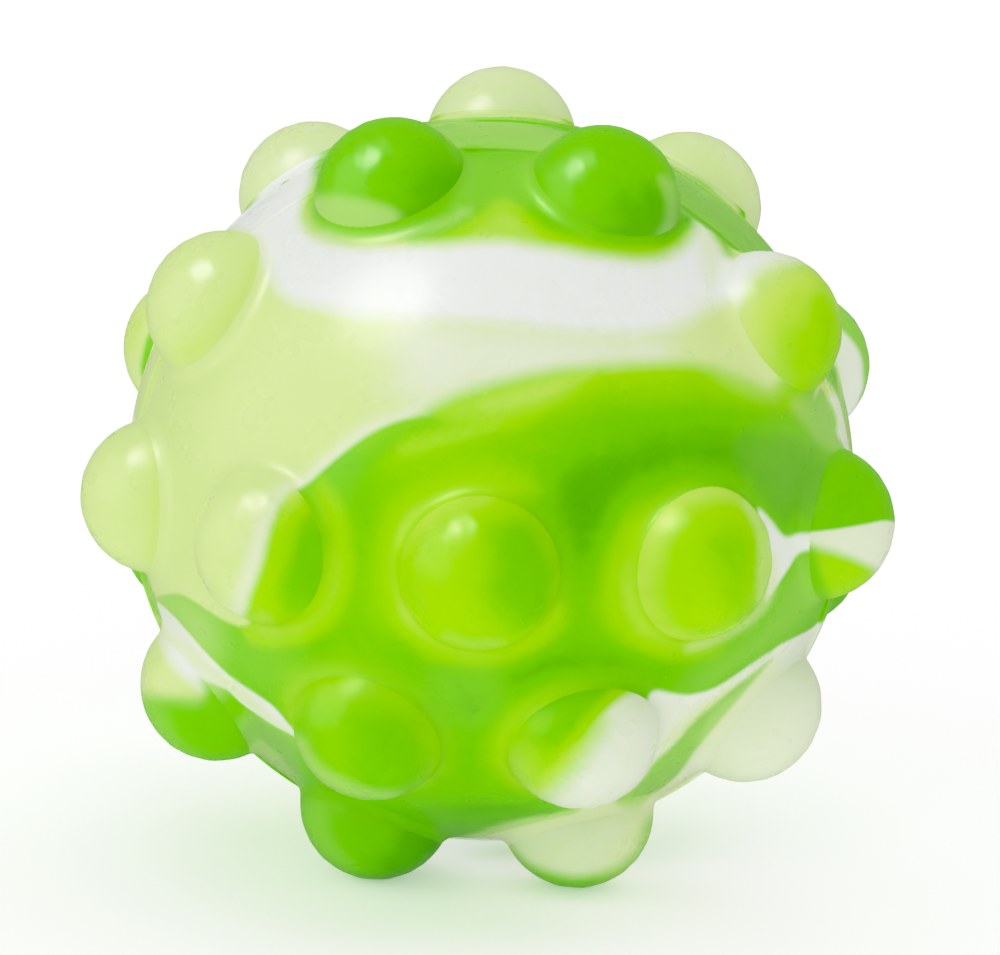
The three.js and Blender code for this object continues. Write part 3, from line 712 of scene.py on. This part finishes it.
def half_shell(name, pole, names):
    ex, ey = EAST, np.cross(pole, EAST)
    axes = np.array([BUBBLES[n] for n in names])
    dirs, edges, ring_of = [], [], []

    def add(d, ring=-1):
        dirs.append(d)
        ring_of.append(ring)
        return len(dirs) - 1

    # rows around the pole: the step up to the rim band and the rounded seam edge
    columns = 340
    places = 2 * np.pi * np.arange(columns) / columns
    extra = [[] for _ in names]          # places where rows run into a bubble's crease

    def on_row(c, p):
        return (math.cos(c) * pole + math.sin(c) * (math.cos(p) * ex + math.sin(p) * ey))

    for c_deg in STEP_C:
        c = math.radians(c_deg)
        row = []
        for p in places:
            d = on_row(c, p)
            if np.arccos((axes @ d).max()) > angle_at(6.80):
                row.append((p, add(d)))
        for k, axis in enumerate(axes):
            cb = math.acos(np.clip(axis.dot(pole), -1, 1))
            if math.sin(cb) < 1e-6:
                continue
            pb = math.atan2(axis.dot(ey), axis.dot(ex))
            for s in (CREASE_S, 6.21, 6.29, 6.41, 6.58):
                alpha = CREASE if s == CREASE_S else angle_at(s)
                q = (math.cos(alpha) - math.cos(c) * math.cos(cb)) / (math.sin(c) * math.sin(cb))
                if abs(q) >= 1:
                    continue
                for sign in (-1, 1):
                    p = (pb + sign * math.acos(q)) % (2 * math.pi)
                    d = on_row(c, p)
                    if s == CREASE_S:
                        extra[k].append(d)
                    else:
                        row.append((p, add(d)))
        row.sort()
        for (p0, i0), (p1, i1) in zip(row, row[1:] + row[:1]):
            if (p1 - p0) % (2 * math.pi) < 1.6 * 2 * math.pi / columns:
                edges.append((i0, i1))
    for n in EDGE_N[::-1]:
        c = math.pi / 2 - n / SHELL_R
        ids = [add(on_row(c, p)) for p in places]
        edges += list(zip(ids, ids[1:] + ids[:1]))

    # rings around each bubble, the first of them its crease
    for k, axis in enumerate(axes):
        u, v = tangents(axis)
        turns = [2 * np.pi * i / RING_SEGMENTS for i in range(RING_SEGMENTS)]
        crowd = [math.atan2(d.dot(v), d.dot(u)) % (2 * np.pi) for d in extra[k]]
        keep = [t for t in turns
                if all(abs((t - e + np.pi) % (2 * np.pi) - np.pi) > 0.02 for e in crowd)]
        loop = sorted(keep + crowd)
        ids = [add(math.cos(CREASE) * axis + math.sin(CREASE) * (math.cos(t) * u + math.sin(t) * v), k)
               for t in loop]
        edges += list(zip(ids, ids[1:] + ids[:1]))
        for j, s in enumerate(RIM_S[1:]):
            alpha = angle_at(s)
            for t in turns:
                if j > 6:
                    t += np.pi / RING_SEGMENTS * (j % 2)
                d = (math.cos(alpha) * axis
                     + math.sin(alpha) * (math.cos(t) * u + math.sin(t) * v))
                c = math.degrees(math.acos(np.clip(d.dot(pole), -1, 1)))
                if 75.0 < c < 76.35 or c > 87.6:
                    continue
                add(d)

    # evenly spread points between them
    count = int(4 * np.pi * SHELL_R ** 2 / (0.866 * 0.68 ** 2))
    i = np.arange(count) + 0.5
    z = 1 - 2 * i / count
    t = np.pi * (1 + 5 ** 0.5) * i
    spread = (z[:, None] * pole + np.sqrt(1 - z * z)[:, None]
              * (np.cos(t)[:, None] * ex + np.sin(t)[:, None] * ey))
    near = np.arccos(np.clip((spread @ axes.T).max(1), -1, 1))
    c = np.degrees(np.arccos(np.clip(z, -1, 1)))
    ok = (near > angle_at(9.1)) & (c < 87.5) & ((c < 74.7) | (c > 76.7))
    for d in spread[ok]:
        add(d)

    d = np.array(dirs)
    flat = np.stack([d @ ex, d @ ey], -1) / (1 + d @ pole)[:, None]
    made = delaunay_2d_cdt([Vector(p) for p in flat], edges, [], 0, 1e-10, True)
    source = [o[0] for o in made[3]]
    ring = np.array(ring_of)
    faces = []
    for f in made[2]:
        a, b, c = (source[x] for x in f)
        if ring[a] >= 0 and ring[a] == ring[b] == ring[c]:
            continue                     # the opening under a bubble
        faces.append((a, b, c))

    n = len(d)
    outer = CENTRE + shell_radius(d, pole, axes)[:, None] * d
    inner = CENTRE + INNER_R * d
    going = {(f[i], f[(i + 1) % 3]) for f in faces for i in range(3)}
    walls = [(b, a, a + n, b + n) for a, b in going if (b, a) not in going]
    walls.sort()
    all_faces = faces + [(c + n, b + n, a + n) for a, b, c in faces] + walls

    layers = marble_shell(d)
    s = lateral(np.arccos(np.clip((d @ axes.T).max(1), -1, 1)))
    nearest = axes[(d @ axes.T).argmax(1)]
    side = d - (d * nearest).sum(1)[:, None] * nearest
    side /= np.maximum(np.linalg.norm(side, axis=1), 1e-9)[:, None]
    # painted glow round the bubbles, as of light shining through the thin material there: a fifth as
    # strong round the rim bubbles, and stronger on each bubble's lower-left side than on its upper
    # right
    glow = np.array([0.2 if "rim" in n else 1.0 for n in names])[(d @ axes.T).argmax(1)]
    lit = 0.62 - 0.38 * (0.75 * (side @ VIEW_RIGHT) + 0.65 * (side @ VIEW_UP))
    painted_glow = glow * lit * np.interp(s, [6.3, 6.7, 7.1, 7.6, 8.3, 9.1, 10.2],
                           [1.0, 0.94, 0.78, 0.55, 0.30, 0.11, 0.0])
    skin = np.interp(s, [6.2, 6.6, 7.6], [0.0, 0.12, 1.0])
    floats = {"m_" + k: np.tile(w, 2) for k, w in layers.items()}
    floats["painted_glow"] = np.tile(painted_glow, 2)
    floats["skin"] = np.tile(skin, 2)
    verts = np.concatenate([outer, inner])
    return make_mesh(name, verts, all_faces, floats, verts - CENTRE)


def dome(name):
    """One bubble as a single sheet from its crown to the lip under the crease."""
    d = BUBBLES[name]
    u, v = tangents(d)
    segments = 96
    end = math.acos(1.20 / BUBBLE_R)
    profile = [(BUBBLE_R * math.sin(t), BUBBLE_D + BUBBLE_R * math.cos(t))
               for t in end * (np.arange(1, 25) / 24)]
    profile += [(6.21, 29.70), (6.15, 29.58), (6.09, 29.4), (6.02, 29.1), (5.94, 28.7),
                (5.85, 28.25)]
    turn = 2 * np.pi * np.arange(segments) / segments
    around = np.cos(turn)[:, None] * u + np.sin(turn)[:, None] * v
    verts = [(BUBBLE_D + BUBBLE_R) * d]
    for s, a in profile:
        verts += list(a * d + s * around)
    verts = np.array(verts)
    faces = [(0, 1 + i, 1 + (i + 1) % segments) for i in range(segments)]
    for r in range(len(profile) - 1):
        p, q = 1 + r * segments, 1 + (r + 1) * segments
        faces += [(p + i, q + i, q + (i + 1) % segments, p + (i + 1) % segments)
                  for i in range(segments)]
    # the slight unevenness of a moulded dome, none at its edge
    s = np.linalg.norm(verts - (verts @ d)[:, None] * d, axis=1)
    rise = np.clip((verts @ d - 30.1) / 2.0, 0, 1)
    out = (verts - BUBBLE_D * d) / BUBBLE_R
    verts = verts + (wobble(3.1 * out + 2.0 * d) * 0.7 * rise)[:, None] * out
    points = verts + CENTRE
    layers = marble_dome(name, points)
    floats = {"m_" + k: w for k, w in layers.items()}
    # painted glow near the dome's edge, as of light shining through the thin material there; a fifth
    # as strong on the rim bubbles
    floats["painted_glow"] = np.interp(s, [0, 4.6, 5.6, 6.3], [0.0, 0.0, 0.35, 0.75]) * (
        0.2 if "rim" in name else 1.0)
    floats["skin"] = np.interp(verts @ d, [30.3, 30.8, 32.0], [0.0, 0.12, 1.0])
    obj = make_mesh(name.replace("_bubble", "_dome"), points, faces, floats, verts)
    return obj


def seam_bead():
    """The thin bead of adhesive in the parting groove, with a few small
    squeezed-out spots."""
    count, ex, ey = 420, EAST, np.cross(POLE, EAST)
    spots = [(0.62, 0.02, 0.8), (1.02, 0.03, 0.55), (2.2, 0.025, 0.7), (3.5, 0.02, 0.6),
             (4.4, 0.03, 0.8), (5.4, 0.02, 0.5)]
    verts, faces = [], []
    shape = [(-1, 28.4, 0), (-1, 29.4, 0), (-1, 29.86, 0), (-0.7, 29.98, 1), (0, 30.02, 1),
             (0.7, 29.98, 1), (1, 29.86, 0), (1, 29.4, 0), (1, 28.4, 0)]
    for i in range(count):
        p = 2 * np.pi * i / count
        out = math.cos(p) * ex + math.sin(p) * ey
        bulge = sum(h * math.exp(-(((p - q + np.pi) % (2 * np.pi) - np.pi) / w) ** 2)
                    for q, w, h in spots)
        swell = 0.03 * math.sin(17 * p) * math.sin(5 * p + 1) + 0.02 * math.sin(41 * p)
        for side, r, top in shape:
            wide = 0.085 + (0.16 * bulge if top else 0.0)
            rr = r + top * (swell + 0.36 * bulge)
            verts.append(CENTRE + rr * out + side * wide * POLE)
    k = len(shape)
    for i in range(count):
        a, b = i * k, ((i + 1) % count) * k
        for j in range(k):
            n = (j + 1) % k
            faces.append((a + j, b + j, b + n, a + n))
    verts = np.array(verts)
    return make_mesh("seam_adhesive_bead", verts, faces, {}, verts - CENTRE)


# ---------------------------------------------------------------- materials

def ramp_stops(ramp, stops):
    while len(ramp.elements) > 1:
        ramp.elements.remove(ramp.elements[-1])
    for i, (at, rgb) in enumerate(stops):
        e = ramp.elements[0] if i == 0 else ramp.elements.new(at)
        e.position = at
        e.color = (*rgb, 1.0)


def srgb(r, g, b):
    return tuple(((x / 255 + 0.055) / 1.055) ** 2.4 if x > 10 else x / 255 / 12.92
                 for x in (r, g, b))


TONES = {"base": 0.80, "pale": 0.25, "white": 0.02, "green": 0.80, "lime": 0.60, "dark": 0.92}


def silicone():
    mat = bpy.data.materials.new("marbled_silicone")
    mat.use_nodes = True
    nodes, links = mat.node_tree.nodes, mat.node_tree.links
    nodes.clear()

    def node(kind, **values):
        n = nodes.new(kind)
        for k, v in values.items():
            if k in n.inputs:
                n.inputs[k].default_value = v
            else:
                setattr(n, k, v)
        return n

    def math_node(op, a, b=None, clamp=False):
        n = node("ShaderNodeMath", operation=op)
        n.use_clamp = clamp
        for i, x in enumerate((a, b)):
            if x is None:
                continue
            if isinstance(x, (int, float)):
                n.inputs[i].default_value = x
            else:
                links.new(x, n.inputs[i])
        return n.outputs[0]

    def attribute(name):
        return node("ShaderNodeAttribute", attribute_name=name, attribute_type="GEOMETRY")

    rest = attribute("rest").outputs["Vector"]

    def noise(scale, detail, rough=0.5, distort=0.0, kind="FBM"):
        n = node("ShaderNodeTexNoise", noise_dimensions="3D")
        n.inputs["Scale"].default_value = scale
        n.inputs["Detail"].default_value = detail
        n.inputs["Roughness"].default_value = rough
        n.inputs["Distortion"].default_value = distort
        links.new(rest, n.inputs["Vector"])
        return n.outputs["Fac"]

    slow = math_node("SUBTRACT", noise(90, 2, 0.5, 0.6), 0.5)
    fine = math_node("SUBTRACT", noise(420, 3, 0.55, 0.8), 0.5)
    ragged = math_node("ADD", math_node("MULTIPLY", slow, 0.28), math_node("MULTIPLY", fine, 0.18))

    def mixed(factor, a, b):
        n = node("ShaderNodeMix", data_type="FLOAT")
        links.new(factor, n.inputs["Factor"])
        for k, x in ((2, a), (3, b)):
            if isinstance(x, (int, float)):
                n.inputs[k].default_value = x
            else:
                links.new(x, n.inputs[k])
        return n.outputs[0]

    amount = {}
    for layer in LAYERS:
        step = node("ShaderNodeMapRange", interpolation_type="SMOOTHSTEP")
        step.inputs["From Min"].default_value = -0.62
        step.inputs["From Max"].default_value = 0.62
        links.new(math_node("ADD", attribute("m_" + layer).outputs["Fac"], ragged),
                  step.inputs["Value"])
        amount[layer] = step.outputs[0]

    # how much of the strong colour covers the light one, layer over layer
    strong = mixed(amount["white"], math_node("SUBTRACT", 1.0, amount["pale"]), 0.0)
    for layer in ("green", "lime", "dark"):
        strong = mixed(amount[layer], strong, 1.0)

    # tone shifts from the patches, mostly the marbling's own and in places painted shade; and a
    # painted glow in the thin material round each bubble, as of light shining through it: green turns
    # towards lime there
    moved = attribute("m_shift").outputs["Fac"]
    streak = math_node("MULTIPLY", math_node("SUBTRACT", noise(170, 3, 0.5, 2.2), 0.5), 0.07)
    deep = mixed(amount["dark"], mixed(amount["lime"], TONES["base"], TONES["lime"]), TONES["dark"])
    deep = math_node("ADD", deep, math_node("ADD", moved, streak))
    deep = math_node("SUBTRACT", deep, math_node("MULTIPLY", attribute("painted_glow").outputs["Fac"], 0.20),
                     clamp=True)
    light = mixed(amount["white"], TONES["pale"], TONES["white"])
    light = math_node("ADD", light, math_node("MULTIPLY", streak, 0.5))
    light = math_node("ADD", light, math_node("MAXIMUM", moved, 0.0), clamp=True)

    def coloured(tone):
        ramp = node("ShaderNodeValToRGB")
        ramp.color_ramp.interpolation = "EASE"
        ramp_stops(ramp.color_ramp, [
            (0.0, srgb(240, 243, 240)),
            (0.10, srgb(228, 238, 208)),
            (0.25, srgb(210, 234, 153)),
            (0.42, srgb(197, 231, 90)),
            (0.60, srgb(163, 223, 4)),
            (0.80, srgb(122, 207, 2)),
            (0.90, srgb(97, 186, 2)),
            (1.0, srgb(66, 156, 2)),
        ])
        links.new(tone, ramp.inputs["Fac"])
        return ramp.outputs["Color"]

    blend = node("ShaderNodeMix", data_type="RGBA")
    links.new(strong, blend.inputs["Factor"])
    links.new(coloured(light), blend.inputs[6])
    links.new(coloured(deep), blend.inputs[7])

    # specks and faint moulding texture
    speck = node("ShaderNodeTexVoronoi", feature="F1")
    speck.inputs["Scale"].default_value = 260
    links.new(rest, speck.inputs["Vector"])
    dot = node("ShaderNodeMapRange")
    dot.inputs["From Min"].default_value = 0.035
    dot.inputs["From Max"].default_value = 0.075
    dot.inputs["To Min"].default_value = 1.0
    dot.inputs["To Max"].default_value = 0.0
    links.new(speck.outputs["Distance"], dot.inputs["Value"])
    rare = node("ShaderNodeSeparateColor")
    links.new(speck.outputs["Color"], rare.inputs[0])
    rare_on = math_node("GREATER_THAN", rare.outputs[0], 0.97)
    spots = math_node("MULTIPLY", dot.outputs[0], rare_on)
    dim = math_node("SUBTRACT", 1.0, math_node("MULTIPLY", spots, 0.10))
    shade = node("ShaderNodeMix", data_type="RGBA", blend_type="MULTIPLY")
    shade.inputs["Factor"].default_value = 1.0
    # the pale colour mixed in, for the marbling's milky parts and for the painted reflections and
    # highlights
    pale_and_sheen_mix = node("ShaderNodeMix", data_type="RGBA")
    links.new(attribute("m_milk_and_sheen").outputs["Fac"], pale_and_sheen_mix.inputs["Factor"])
    links.new(blend.outputs[2], pale_and_sheen_mix.inputs[6])
    pale_and_sheen_mix.inputs[7].default_value = (*srgb(217, 235, 164), 1.0)
    links.new(pale_and_sheen_mix.outputs[2], shade.inputs[6])
    grey = node("ShaderNodeCombineColor")
    for i in range(3):
        links.new(dim, grey.inputs[i])
    links.new(grey.outputs[0], shade.inputs[7])

    texture = math_node("ADD", math_node("MULTIPLY", noise(1500, 4, 0.6), 0.5),
                        math_node("MULTIPLY", noise(380, 2, 0.5), 0.8))
    height = math_node("ADD", texture, math_node("MULTIPLY", spots, 0.4))
    bump = node("ShaderNodeBump")
    bump.inputs["Strength"].default_value = 0.06
    bump.inputs["Distance"].default_value = 0.00004
    links.new(height, bump.inputs["Height"])

    rough = node("ShaderNodeMapRange")
    rough.inputs["From Min"].default_value = 0.3
    rough.inputs["From Max"].default_value = 0.7
    rough.inputs["To Min"].default_value = 0.25
    rough.inputs["To Max"].default_value = 0.33
    links.new(noise(240, 3, 0.6), rough.inputs["Value"])
    # duller in the rolled edge where a bubble leaves the shell
    edge = math_node("SUBTRACT", 1.0, attribute("skin").outputs["Fac"], clamp=True)
    dull = math_node("ADD", rough.outputs[0], math_node("MULTIPLY", edge, 0.10), clamp=True)

    shader = node("ShaderNodeBsdfPrincipled")
    shader.inputs["IOR"].default_value = 1.43
    links.new(math_node("MULTIPLY", attribute("skin").outputs["Fac"], 0.6),
              shader.inputs["Subsurface Weight"])
    shader.inputs["Subsurface Radius"].default_value = (1.0, 1.0, 0.5)
    shader.inputs["Subsurface Scale"].default_value = 0.0008
    links.new(shade.outputs[2], shader.inputs["Base Color"])
    links.new(dull, shader.inputs["Roughness"])
    links.new(bump.outputs[0], shader.inputs["Normal"])
    out = node("ShaderNodeOutputMaterial")
    links.new(shader.outputs[0], out.inputs["Surface"])
    return mat


def adhesive():
    mat = bpy.data.materials.new("cured_adhesive")
    mat.use_nodes = True
    nodes, links = mat.node_tree.nodes, mat.node_tree.links
    shader = nodes["Principled BSDF"]
    rest = nodes.new("ShaderNodeAttribute")
    rest.attribute_name = "rest"
    n = nodes.new("ShaderNodeTexNoise")
    n.inputs["Scale"].default_value = 300
    n.inputs["Detail"].default_value = 3
    links.new(rest.outputs["Vector"], n.inputs["Vector"])
    ramp = nodes.new("ShaderNodeValToRGB")
    ramp_stops(ramp.color_ramp, [(0.3, srgb(120, 190, 30)), (0.7, srgb(165, 214, 90))])
    links.new(n.outputs["Fac"], ramp.inputs["Fac"])
    links.new(ramp.outputs["Color"], shader.inputs["Base Color"])
    bump = nodes.new("ShaderNodeBump")
    bump.inputs["Strength"].default_value = 0.3
    bump.inputs["Distance"].default_value = 0.0001
    links.new(n.outputs["Fac"], bump.inputs["Height"])
    links.new(bump.outputs[0], shader.inputs["Normal"])
    shader.inputs["Roughness"].default_value = 0.3
    shader.inputs["IOR"].default_value = 1.41
    shader.inputs["Subsurface Weight"].default_value = 0.3
    shader.inputs["Subsurface Radius"].default_value = (1.0, 1.0, 0.6)
    shader.inputs["Subsurface Scale"].default_value = 0.0006
    return mat


MARBLED, GLUE = silicone(), adhesive()

for half, pole in (("front", POLE), ("rear", -POLE)):
    names = [n for n in BUBBLES if n.startswith(half)]
    shell = half_shell(half + "_shell_moulding", pole, names)
    shell.data.materials.append(MARBLED)
    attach(shell, "shell")
    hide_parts(half + "_half_shell")

for name, d in BUBBLES.items():
    piece = dome(name)
    piece.data.materials.append(MARBLED)
    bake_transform(piece)
    wall = piece.modifiers.new("wall", "SOLIDIFY")
    wall.thickness = 1.2 * MM
    wall.offset = -1.0
    wall.use_rim = True
    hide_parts(name)

bead = seam_bead()
bead.data.materials.append(GLUE)
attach(bead, "shell")
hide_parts("seam_bond")

# ---------------------------------------------------------------- the studio

scene = bpy.context.scene
scene.view_settings.view_transform = "Standard"
scene.view_settings.use_curve_mapping = True
curve = scene.view_settings.curve_mapping
curve.black_level = (0.024, 0.024, 0.024)
shoulder = curve.curves[3]                # highlights roll off
shoulder.points[1].location = (1.0, 0.865)
for x, y in ((0.5, 0.5), (0.65, 0.638), (0.8, 0.752), (0.92, 0.827)):
    shoulder.points.new(x, y)
curve.update()


def studio_dimness():
    """A dim even surround, seen in reflections only."""
    mat = bpy.data.materials.new("studio_dimness")
    mat.use_nodes = True
    shader = mat.node_tree.nodes["Principled BSDF"]
    shader.inputs["Base Color"].default_value = (0, 0, 0, 1)
    shader.inputs["Specular IOR Level"].default_value = 0.0
    shader.inputs["Emission Color"].default_value = (1, 1, 1, 1)
    shader.inputs["Emission Strength"].default_value = 0.26
    rows, columns = 12, 24
    verts = [(3 * math.sin(math.pi * (r + 0.5) / rows) * math.cos(2 * math.pi * c / columns),
              3 * math.sin(math.pi * (r + 0.5) / rows) * math.sin(2 * math.pi * c / columns),
              3 * math.cos(math.pi * (r + 0.5) / rows)) for r in range(rows) for c in range(columns)]
    faces = [(r * columns + c, (r + 1) * columns + c, (r + 1) * columns + (c + 1) % columns,
              r * columns + (c + 1) % columns) for r in range(rows - 1) for c in range(columns)]
    mesh = bpy.data.meshes.new("studio_dimness")
    mesh.from_pydata(verts, [], faces)
    mesh.materials.append(mat)
    obj = bpy.data.objects.new("studio_dimness", mesh)
    scene.collection.objects.link(obj)
    obj.visible_camera = obj.visible_diffuse = obj.visible_shadow = False
    obj.visible_transmission = obj.visible_volume_scatter = False


def studio_paper():
    """A pale floor that curves up into the background."""
    mat = bpy.data.materials.new("studio_paper")
    mat.use_nodes = True
    shader = mat.node_tree.nodes["Principled BSDF"]
    shader.inputs["Base Color"].default_value = (0.90, 0.90, 0.90, 1)
    shader.inputs["Roughness"].default_value = 0.9
    shader.inputs["Specular IOR Level"].default_value = 0.1
    shader.inputs["Emission Color"].default_value = (1, 1, 1, 1)
    # the paper also gives off a little light, more towards the back, so that the background stays near
    # white
    place = mat.node_tree.nodes.new("ShaderNodeTexCoord")
    axes = mat.node_tree.nodes.new("ShaderNodeSeparateXYZ")
    glow = mat.node_tree.nodes.new("ShaderNodeMapRange")
    glow.interpolation_type = "SMOOTHSTEP"
    for key, value in (("From Min", -0.05), ("From Max", 0.75), ("To Min", 0.32), ("To Max", 0.62)):
        glow.inputs[key].default_value = value
    mat.node_tree.links.new(place.outputs["Object"], axes.inputs[0])
    mat.node_tree.links.new(axes.outputs["Y"], glow.inputs["Value"])
    mat.node_tree.links.new(glow.outputs[0], shader.inputs["Emission Strength"])
    floor = [(-1.2, 0.0), (-0.6, 0.0), (0.0, 0.0), (0.5, 0.0)]
    curve = [(0.5 + 0.5 * math.sin(t), 0.5 - 0.5 * math.cos(t))
             for t in np.linspace(0.0, math.pi / 2, 17)]
    xs = np.linspace(-2.0, 2.0, 9)
    k = len(xs)
    for name, profile in (("studio_floor", floor), ("studio_backdrop", curve + [(1.0, 1.6)])):
        mesh = bpy.data.meshes.new(name)
        mesh.from_pydata([(x, y, z) for y, z in profile for x in xs], [],
                         [(r * k + i, r * k + i + 1, (r + 1) * k + i + 1, (r + 1) * k + i)
                          for r in range(len(profile) - 1) for i in range(k - 1)])
        mesh.polygons.foreach_set("use_smooth", [True] * len(mesh.polygons))
        mesh.materials.append(mat)
        obj = bpy.data.objects.new(name, mesh)
        scene.collection.objects.link(obj)
        obj.visible_glossy = False


def area_light(name, place, target, size, power, shape="RECTANGLE"):
    light = bpy.data.lights.new(name, "AREA")
    light.shape = shape
    light.size, light.size_y = size
    light.energy = power
    obj = bpy.data.objects.new(name, light)
    obj.location = place
    obj.rotation_mode = "QUATERNION"
    obj.rotation_quaternion = (Vector(target) - Vector(place)).to_track_quat("-Z", "Y")
    scene.collection.objects.link(obj)
    obj.visible_camera = False
    return obj


studio_paper()
studio_dimness()
MIDDLE = Vector(CENTRE * MM)
# Soft boxes that show as reflections on the silicone ...
for name, place, size, power, shape in (
        ("overhead_glint", (-0.26, -0.15, 0.48), (0.24, 0.24), 1.9, "DISK"),
        ("left_softbox", (-0.50, -0.18, 0.22), (0.60, 0.50), 1.40, "RECTANGLE")):
    area_light(name, place, MIDDLE, size, power, shape).visible_diffuse = False
# ... and wide fills that light it evenly and stay out of the reflections.
for name, place, size, power in (
        ("left_fill", (-0.55, -0.25, 0.35), (0.6, 0.5), 0.88),
        ("front_fill", (0.03, -1.0, 0.58), (1.0, 0.8), 3.5),
        ("top_fill", (0.10, 0.05, 0.95), (0.9, 0.9), 3.6)):
    area_light(name, place, MIDDLE, size, power).visible_glossy = False

world = bpy.data.worlds.new("studio_air")
scene.world = world
world.use_nodes = True
world.node_tree.nodes["Background"].inputs["Color"].default_value = (1, 1, 1, 1)
world.node_tree.nodes["Background"].inputs["Strength"].default_value = 0.40
world.cycles_visibility.glossy = False

camera = bpy.data.cameras.new("camera")
camera.sensor_width = 36.0
camera.lens = FOCAL_PX * 36.0 / 1000.0
camera.clip_start, camera.clip_end = 0.01, 10.0
eye = bpy.data.objects.new("camera", camera)
turn = Matrix((VIEW_RIGHT, VIEW_UP, VIEW_BACK)).transposed()
eye.matrix_world = Matrix.Translation(Vector(EYE * MM)) @ turn.to_4x4()
scene.collection.objects.link(eye)
scene.camera = eye
